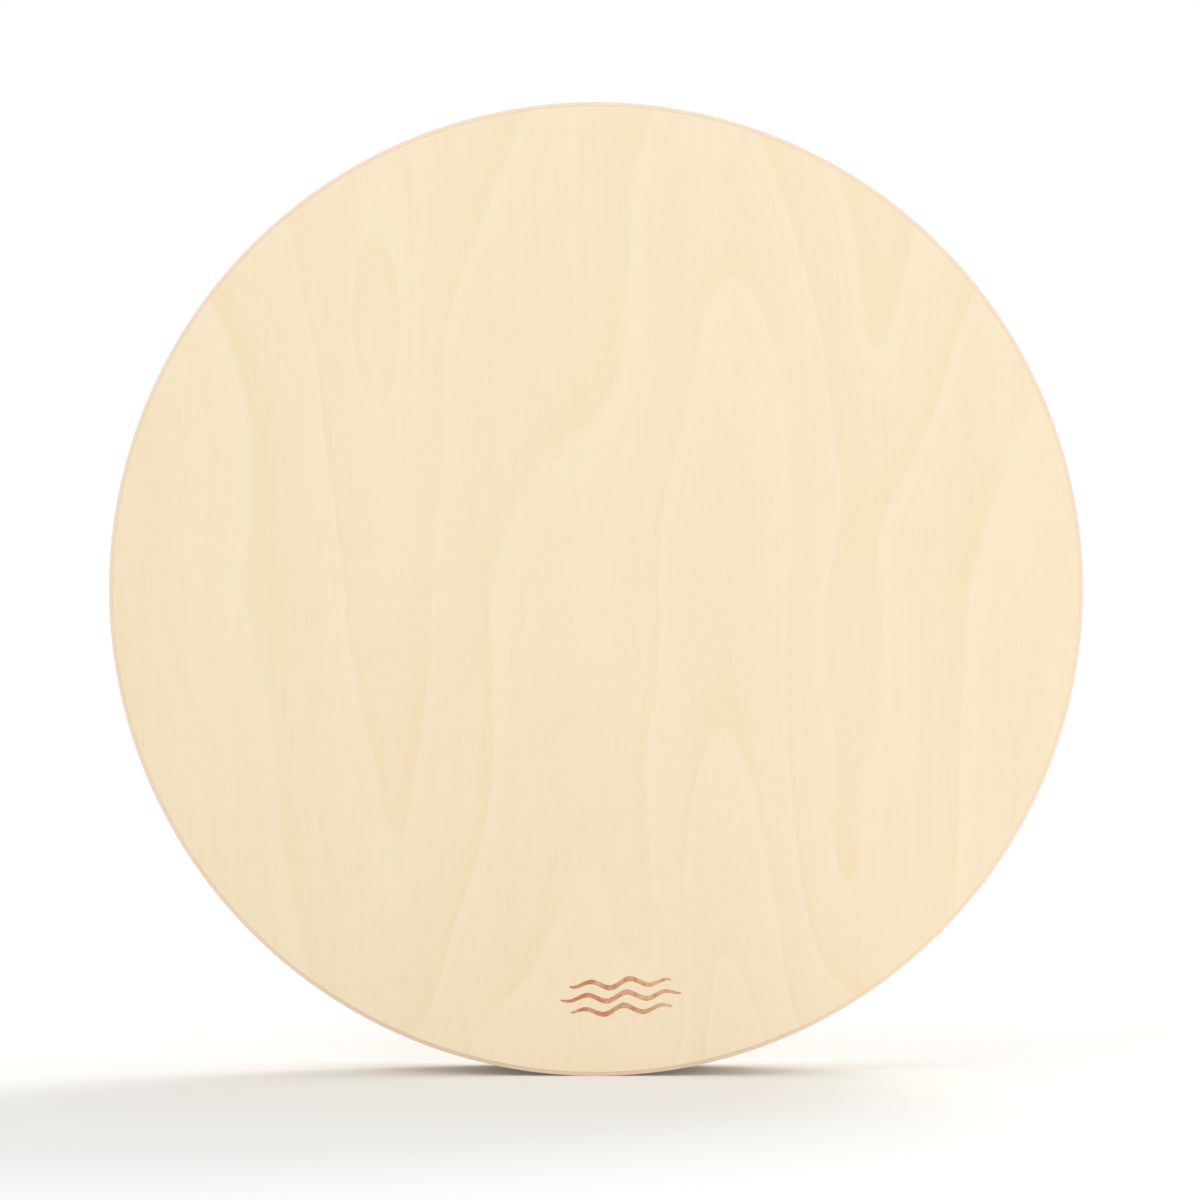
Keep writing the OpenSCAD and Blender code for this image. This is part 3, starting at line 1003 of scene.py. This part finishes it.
class WaveMark(bpy.types.Operator):
    """Three rolling wave lines in copper print, near the bottom of the plate"""

    bl_idname = "ocean_drum.wave_mark"
    bl_label = "Wave mark"

    def execute(self, context):
        """Each line is a flat tube along x, closed at its ends.

        With s the share of its length, its middle height swings as a sine times the square root
        of sin(pi s). Its section at an angle a is (cos a, sin a), as wide as the line, and as
        high as the print over the wood and under it. The half width swells from the tip's as
        sin(pi s) to the power 0.35.
        """
        width, height = sizes().mark_width, sizes().mark_height
        s = np.linspace(0, 1, LINE_STEPS)[:, None]
        a = np.arange(LINE_SIDES)[None] * 2 * np.pi / LINE_SIDES
        swell = np.sin(np.pi * s)
        half_width = sizes().print_line / 2 * swell ** 0.35 + LINE_TIP
        y = FRONT_Y + sizes().print_rise * (1 - np.sin(a)) + 0 * s
        vertices, quads, caps = [], [], []
        first = 0
        for share, lift, lead in WAVE_LINES:
            x = (s - 0.5) * width * share + 0 * a
            wave = np.sin(2 * np.pi * (WAVE_TURNS * x / width + lead))
            z = height * (lift + WAVE_SWING * wave * swell ** 0.5) - half_width * np.cos(a)
            z -= sizes().mark_distance
            turned_x = x * math.cos(WAVE_TILT) - z * math.sin(WAVE_TILT)
            turned_z = x * math.sin(WAVE_TILT) + z * math.cos(WAVE_TILT)
            line = capped_tube(np.stack([turned_x, y, AXIS_Z + turned_z], axis=2))
            vertices.append(line[0])
            quads.append(line[1] + first)
            caps.append(line[2] + first)
            first += len(line[0])
        mark = put_mesh("wave_mark_print", *map(np.concatenate, (vertices, quads, caps)))
        tones = colours()
        dress(mark, copper_print("copper print", tones.copper, tones.copper_worn), "brass_pin")
        return {"FINISHED"}


# Lamps: place in metres, side in metres and power in watts
LAMPS = {
    "key_softbox": ((-1.5, -2.3, 1.9), 1.8, 22),
    "fill_softbox": ((1.4, -2.2, 0.62), 1.1, 15),
    "back_softbox": ((1.2, 2.4, 1.8), 1.8, 60),
}
SURROUND_LIGHT = 0.62

# The floor, in metres from the drum: its reach, where it starts and ends its fade to white, and
# where its added glow ends, which grows from the first of the two strengths to the second
FLOOR_REACH = 12.0
FADE_START = 0.35
FADE_END = 1.9
GLOW_END = 1.2
GLOW_NEAR = 0.08
GLOW_FAR = 0.3

# The photo's frame in pixels: its width, the middle of the drum and the drum's radius
FRAME_PX = 1200.0
MIDDLE_PX = (596.0, 589.0)
RIM_PX = 487.3
CAMERA_DISTANCE = 2.3
CAMERA_REACH = 100.0
SENSOR_WIDTH = 36.0
WHITE = (1, 1, 1, 1)


class Studio(bpy.types.Operator):
    """A pale floor, a white surround, soft lamps and the camera"""

    bl_idname = "ocean_drum.studio"
    bl_label = "Studio"

    def execute(self, context):
        context.scene.view_settings.view_transform = "Standard"
        self.floor()
        self.surround(context.scene)
        for name, (place, side, power) in LAMPS.items():
            self.lamp(name, place, side, power)
        self.camera(context.scene)
        return {"FINISHED"}

    def floor(self):
        """A flat floor at the height of the drum's lowest point, which fades to white further off.

        The fade shows only where the floor is looked at, so the floor lights the drum as a plain
        pale floor does.
        """
        ends = (-FLOOR_REACH, FLOOR_REACH)
        places = np.array([[x, y, 0] for x in ends for y in ends])
        floor = put_mesh("studio_floor", places, np.array([[0, 2, 3, 1]]))
        n = new_material("studio floor")
        inputs = {0: n.object_place()}
        distance = n.add("ShaderNodeVectorMath", inputs, operation="LENGTH").outputs["Value"]
        fade = n.spread(distance, FADE_START, FADE_END, interpolation_type="SMOOTHSTEP")
        strength = n.spread(distance, 0.0, GLOW_END, GLOW_NEAR, GLOW_FAR)
        matt = n.shader("BsdfDiffuse", {"Color": linear(colours().floor)})
        glow = n.shader("Emission", {"Color": WHITE, "Strength": strength})
        white = n.shader("Emission", {"Color": WHITE, "Strength": 1.0})
        shown = n.blend(fade, n.shader("AddShader", {0: matt, 1: glow}), white)
        floor.data.materials.append(n.show(n.blend(n.seen(), matt, shown)))

    def surround(self, scene):
        """White where it is seen, and a softer even light elsewhere."""
        scene.world = bpy.data.worlds.new("studio surround")
        n = Nodes(scene.world, "ShaderNodeOutputWorld")
        light = n.shader("Background", {"Color": WHITE, "Strength": SURROUND_LIGHT})
        white = n.shader("Background", {"Color": WHITE, "Strength": 1.0})
        n.show(n.blend(n.seen(), light, white))

    def lamp(self, name, place, side, power):
        """A square area lamp that faces the middle of the drum."""
        data = bpy.data.lights.new(name, "AREA")
        data.size = side
        data.energy = power
        lamp = bpy.data.objects.new(name, data)
        bpy.context.scene.collection.objects.link(lamp)
        away = np.array(place) - np.array([0, 0, AXIS_Z])
        x, y, z = away
        lamp.location = place
        lamp.rotation_euler = (math.acos(z / np.linalg.norm(away)), 0, math.atan2(x, -y))

    def camera(self, scene):
        """A level camera, placed so that the rim lies where it lies in the photo's frame."""
        data = bpy.data.cameras.new("camera")
        data.sensor_width = SENSOR_WIDTH
        data.lens = SENSOR_WIDTH * RIM_PX * CAMERA_DISTANCE / (DRUM_R * FRAME_PX)
        data.clip_end = CAMERA_REACH
        camera = bpy.data.objects.new("camera", data)
        scene.collection.objects.link(camera)
        px = DRUM_R / RIM_PX
        camera.location = (
            (FRAME_PX / 2 - MIDDLE_PX[0]) * px,
            FRONT_Y - CAMERA_DISTANCE,
            AXIS_Z - (FRAME_PX / 2 - MIDDLE_PX[1]) * px,
        )
        camera.rotation_euler = (math.radians(90), 0, 0)
        scene.camera = camera


class OceanDrumPanel(bpy.types.Panel):
    """Lists the drum's pieces, sizes and colours"""

    bl_idname = "VIEW3D_PT_ocean_drum"
    bl_label = "Ocean drum"
    bl_space_type = "VIEW_3D"
    bl_region_type = "UI"
    bl_category = "Ocean drum"

    def draw(self, context):
        layout = self.layout
        for operator in OPERATORS:
            layout.operator(operator.bl_idname)
        for group in (sizes(), colours()):
            box = layout.box()
            for name in group.__annotations__:
                box.prop(group, name)


OPERATORS = (FrontPlate, Shell, FilmHead, TrimHoop, Beads, WaveMark, Studio)
CLASSES = (OceanDrumSizes, OceanDrumColours, *OPERATORS, OceanDrumPanel)


def register():
    """Registers the classes, and gives the scene its sizes and colours."""
    for cls in CLASSES:
        bpy.utils.register_class(cls)
    bpy.types.Scene.ocean_drum_sizes = PointerProperty(type=OceanDrumSizes)
    bpy.types.Scene.ocean_drum_colours = PointerProperty(type=OceanDrumColours)


def unregister():
    """Undoes what register does."""
    del bpy.types.Scene.ocean_drum_colours
    del bpy.types.Scene.ocean_drum_sizes
    for cls in reversed(CLASSES):
        bpy.utils.unregister_class(cls)


def main():
    """Builds every piece and the studio."""
    register()
    bpy.ops.ocean_drum.front_plate()
    bpy.ops.ocean_drum.shell()
    bpy.ops.ocean_drum.film_head()
    bpy.ops.ocean_drum.trim_hoop()
    bpy.ops.ocean_drum.beads()
    bpy.ops.ocean_drum.wave_mark()
    bpy.ops.ocean_drum.studio()


if __name__ == "__main__":
    main()
